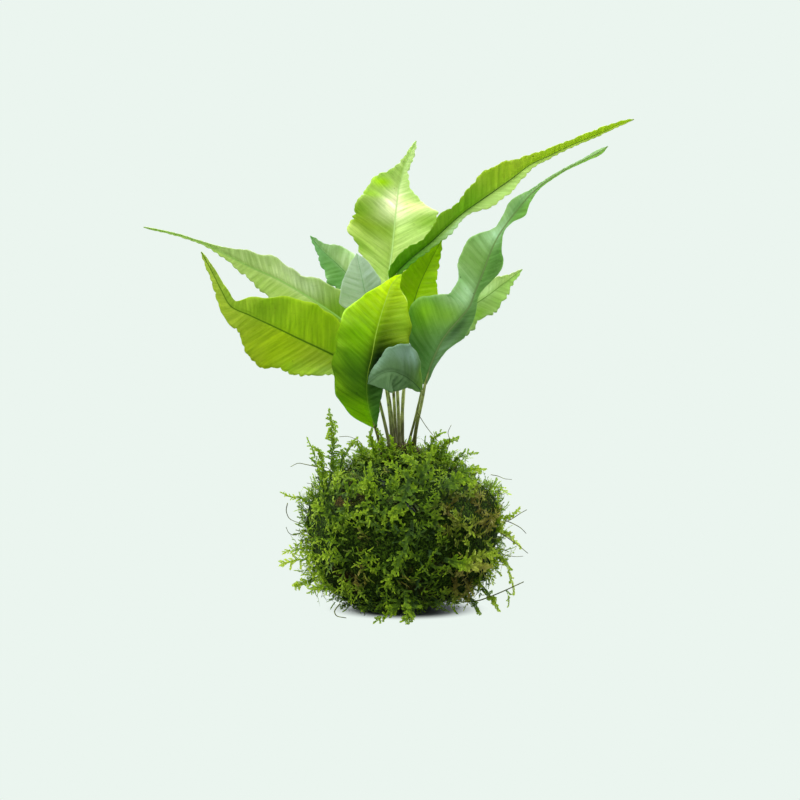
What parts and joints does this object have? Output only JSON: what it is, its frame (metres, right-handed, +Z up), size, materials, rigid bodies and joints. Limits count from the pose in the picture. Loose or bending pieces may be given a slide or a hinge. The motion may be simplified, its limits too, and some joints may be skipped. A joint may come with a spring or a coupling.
{
  "type": "aquarium fern moss ball",
  "caption": "Broad-leaved aquarium fern growing from a rhizome tied on a ball of feathery moss, for setting on the bottom of a tank or in a shallow bowl.",
  "frame": {"origin": "centre of the flat spot under the moss ball, on the surface that it rests on", "axes": "+Z up; -Y towards the side with the nearest fronds; +X towards the two long fronds that reach up and out"},
  "size_m": [0.168, 0.0756, 0.1651],
  "materials": {
    "coir": "matte",
    "thread": "satin",
    "moss": "matte",
    "rhizome": "matte",
    "stalk": "satin",
    "leaf_yellow": "satin",
    "leaf_pale": "satin",
    "leaf_green": "satin",
    "leaf_teal": "satin"
  },
  "bodies": {
    "root": {"substrate_core": "coir", "binding_thread": "thread", "moss_collar_1": "moss", "moss_collar_2": "moss", "moss_collar_3": "moss", "moss_side_1": "moss", "moss_side_2": "moss", "moss_side_3": "moss", "moss_side_4": "moss", "moss_side_5": "moss", "moss_side_6": "moss", "moss_foot": "moss", "rhizome": "rhizome", "frond_left_low_stalk": "stalk", "frond_left_low_blade": "leaf_yellow", "frond_left_high_stalk": "stalk", "frond_left_high_blade": "leaf_pale", "frond_front_stalk": "stalk", "frond_front_blade": "leaf_yellow", "frond_back_centre_stalk": "stalk", "frond_back_centre_blade": "leaf_pale", "frond_back_left_stalk": "stalk", "frond_back_left_blade": "leaf_green", "frond_young_left_stalk": "stalk", "frond_young_left_blade": "leaf_teal", "frond_right_high_stalk": "stalk", "frond_right_high_blade": "leaf_green", "frond_right_low_stalk": "stalk", "frond_right_low_blade": "leaf_teal", "frond_right_back_stalk": "stalk", "frond_right_back_blade": "leaf_pale", "frond_back_right_stalk": "stalk", "frond_back_right_blade": "leaf_yellow", "frond_young_front_stalk": "stalk", "frond_young_front_blade": "leaf_teal"}
  },
  "joints": []
}
